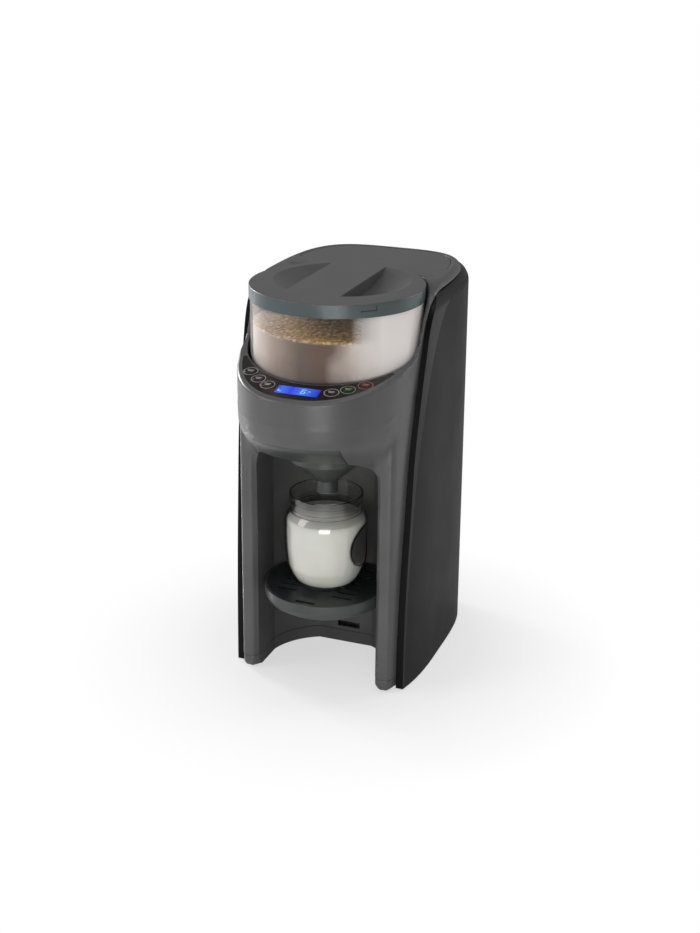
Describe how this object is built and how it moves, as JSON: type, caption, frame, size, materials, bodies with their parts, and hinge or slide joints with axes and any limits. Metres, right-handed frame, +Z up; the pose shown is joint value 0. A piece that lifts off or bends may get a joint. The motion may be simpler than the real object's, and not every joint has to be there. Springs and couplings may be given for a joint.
{
  "type": "baby formula maker",
  "caption": "Countertop machine that doses powder from a clear round hopper and warm water from a rear tank through a funnel into a bottle on a tray.",
  "frame": {"origin": "centre of the footprint on the standing surface", "axes": "+Z up, front of the machine towards -Y, +X to the right as seen from the front"},
  "size_m": [0.175, 0.2701, 0.3577],
  "materials": {
    "grey_shell": "satin",
    "dark_panel": "satin",
    "black_trim": "gloss",
    "black_lens": "gloss",
    "display": "backlit",
    "button": "gloss",
    "clear_hopper": "clear",
    "smoky_clear": "smoky",
    "smoky_funnel": "satin",
    "clear_tank": "clear",
    "bottle_clear": "clear",
    "dark_grille": "satin",
    "white_gear": "moulded",
    "inner_plastic": "moulded",
    "rubber": "matte",
    "silicone": "translucent",
    "steel": "plain",
    "aluminium": "cast",
    "board": "solder mask"
  },
  "bodies": {
    "housing": {"front_housing": "grey_shell", "bay_liner": "grey_shell", "base_plate": "grey_shell", "rubber_feet": "rubber", "base_screws": "steel", "side_panel_left": "dark_panel", "side_panel_right": "dark_panel", "side_trim_left": "black_trim", "side_trim_right": "black_trim", "back_cover": "dark_panel", "cord_gland": "rubber", "control_lens": "black_lens", "lcd_module": "display", "control_board": "board", "tact_switches": "inner_plastic", "hopper_deck": "grey_shell", "deck_screws": "steel", "powder_chute": "inner_plastic", "gearbox_plate": "inner_plastic", "gear_motor": "steel", "tank_bay": "inner_plastic", "inlet_seal": "silicone", "chassis_plate": "inner_plastic", "main_board": "board", "pump": "inner_plastic", "heater_block": "aluminium", "inlet_hose": "silicone", "pump_hose": "silicone", "outlet_hose": "silicone", "outlet_nozzle": "inner_plastic", "funnel_switch": "inner_plastic"},
    "drive": {"drive_coupling": "inner_plastic", "drive_gear": "white_gear"},
    "idler": {"idler_gear": "white_gear"},
    "pinion": {"motor_pinion": "white_gear"},
    "doser": {"dosing_wheel": "inner_plastic", "stirrer": "inner_plastic"},
    "hopper": {"hopper_body": "clear_hopper", "hopper_base": "black_lens", "hopper_floor": "clear_hopper"},
    "lid_lift": {"lid_seal": "silicone"},
    "lid": {"lid_cap": "grey_shell", "lid_ring": "smoky_clear"},
    "funnel": {"funnel_body": "smoky_funnel", "funnel_front": "smoky_funnel"},
    "tray": {"tray_dish": "grey_shell", "tray_grille": "dark_grille", "tray_bracket": "grey_shell"},
    "bottle": {"bottle": "bottle_clear"},
    "tank": {"water_tank": "clear_tank", "valve_cage": "inner_plastic", "valve_spring": "steel"},
    "tank_lid": {"tank_lid": "grey_shell"},
    "tank_valve": {"tank_valve": "inner_plastic"},
    "button_left_1": {"button_left_1": "button"},
    "button_left_2": {"button_left_2": "button"},
    "button_left_3": {"button_left_3": "button"},
    "button_right_1": {"button_right_1": "button"},
    "button_right_2": {"button_right_2": "button"},
    "button_right_3": {"button_right_3": "button"}
  },
  "joints": [
    {"name": "hopper_lift", "type": "slide", "parent": "housing", "child": "hopper", "axis": [0, 0, 1], "range_m": [0, 0.08]},
    {"name": "doser_spin", "type": "hinge", "parent": "hopper", "child": "doser", "pos_m": [0, -0.0275, 0.29], "axis": [0, 0, 1], "continuous": true},
    {"name": "drive_spin", "type": "hinge", "parent": "housing", "child": "drive", "pos_m": [0, -0.0275, 0.26], "axis": [0, 0, 1], "continuous": true},
    {"name": "idler_spin", "type": "hinge", "parent": "housing", "child": "idler", "pos_m": [0, -0.0055, 0.258], "axis": [0, 0, 1], "continuous": true},
    {"name": "pinion_spin", "type": "hinge", "parent": "housing", "child": "pinion", "pos_m": [0, 0.0125, 0.258], "axis": [0, 0, 1], "continuous": true},
    {"name": "lid_lift", "type": "slide", "parent": "hopper", "child": "lid_lift", "axis": [0, 0, 1], "range_m": [0, 0.05]},
    {"name": "lid_turn", "type": "hinge", "parent": "lid_lift", "child": "lid", "pos_m": [0, -0.0275, 0.352], "axis": [0, 0, 1], "range_deg": [-20, 0]},
    {"name": "funnel_slide", "type": "slide", "parent": "housing", "child": "funnel", "axis": [0, -1, 0], "range_m": [0, 0.095]},
    {"name": "tray_slide", "type": "slide", "parent": "housing", "child": "tray", "axis": [0, -1, 0], "range_m": [0, 0.11]},
    {"name": "bottle_slide", "type": "slide", "parent": "tray", "child": "bottle", "axis": [0, -1, 0], "range_m": [0, 0.12]},
    {"name": "tank_lift", "type": "slide", "parent": "housing", "child": "tank", "axis": [0, 0, 1], "range_m": [0, 0.2]},
    {"name": "tank_lid_lift", "type": "slide", "parent": "tank", "child": "tank_lid", "axis": [0, 0, 1], "range_m": [0, 0.06]},
    {"name": "tank_valve_lift", "type": "slide", "parent": "tank", "child": "tank_valve", "axis": [0, 0, 1], "range_m": [0, 0.0015], "stiffness_N_per_m": 200, "deforming": ["valve_spring"]},
    {"name": "button_left_1_press", "type": "slide", "parent": "housing", "child": "button_left_1", "axis": [0, 0.2055, -0.9787], "range_m": [0, 0.0008], "stiffness_N_per_m": 400},
    {"name": "button_left_2_press", "type": "slide", "parent": "housing", "child": "button_left_2", "axis": [0, 0.2055, -0.9787], "range_m": [0, 0.0008], "stiffness_N_per_m": 400},
    {"name": "button_left_3_press", "type": "slide", "parent": "housing", "child": "button_left_3", "axis": [0, 0.2055, -0.9787], "range_m": [0, 0.0008], "stiffness_N_per_m": 400},
    {"name": "button_right_1_press", "type": "slide", "parent": "housing", "child": "button_right_1", "axis": [0, 0.2055, -0.9787], "range_m": [0, 0.0008], "stiffness_N_per_m": 400},
    {"name": "button_right_2_press", "type": "slide", "parent": "housing", "child": "button_right_2", "axis": [0, 0.2055, -0.9787], "range_m": [0, 0.0008], "stiffness_N_per_m": 400},
    {"name": "button_right_3_press", "type": "slide", "parent": "housing", "child": "button_right_3", "axis": [0, 0.2055, -0.9787], "range_m": [0, 0.0008], "stiffness_N_per_m": 400}
  ],
  "couplings": [
    {"joint": "drive_spin", "follows": "doser_spin", "ratio": 1},
    {"joint": "idler_spin", "follows": "doser_spin", "ratio": -0.83333},
    {"joint": "pinion_spin", "follows": "doser_spin", "ratio": 1.6667}
  ]
}
